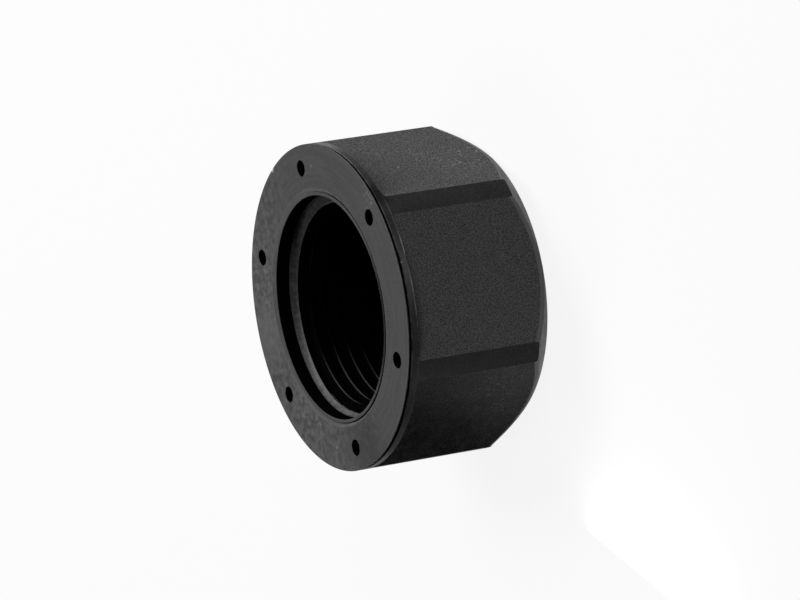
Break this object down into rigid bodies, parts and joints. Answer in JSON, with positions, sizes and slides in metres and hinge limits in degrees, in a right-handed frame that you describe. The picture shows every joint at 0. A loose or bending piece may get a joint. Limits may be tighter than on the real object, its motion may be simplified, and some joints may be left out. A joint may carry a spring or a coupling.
{
  "type": "threaded protection cap",
  "caption": "Moulded plastic screw cap with spanner flats, a closed end, a threaded mouth and a cover ring with small face holes.",
  "frame": {"origin": "centre of the closed end, on the axis of the thread", "axes": "+Z along the thread axis, out of the mouth; +X towards one of the six round corners"},
  "size_m": [0.039, 0.039, 0.02],
  "materials": {
    "body_plastic": "black plastic with a fine grain on the spanner flats",
    "ring_plastic": "black plastic, smooth, with faint rub marks"
  },
  "bodies": {
    "root": {"cap_body": "body_plastic", "front_ring": "ring_plastic"}
  },
  "joints": []
}
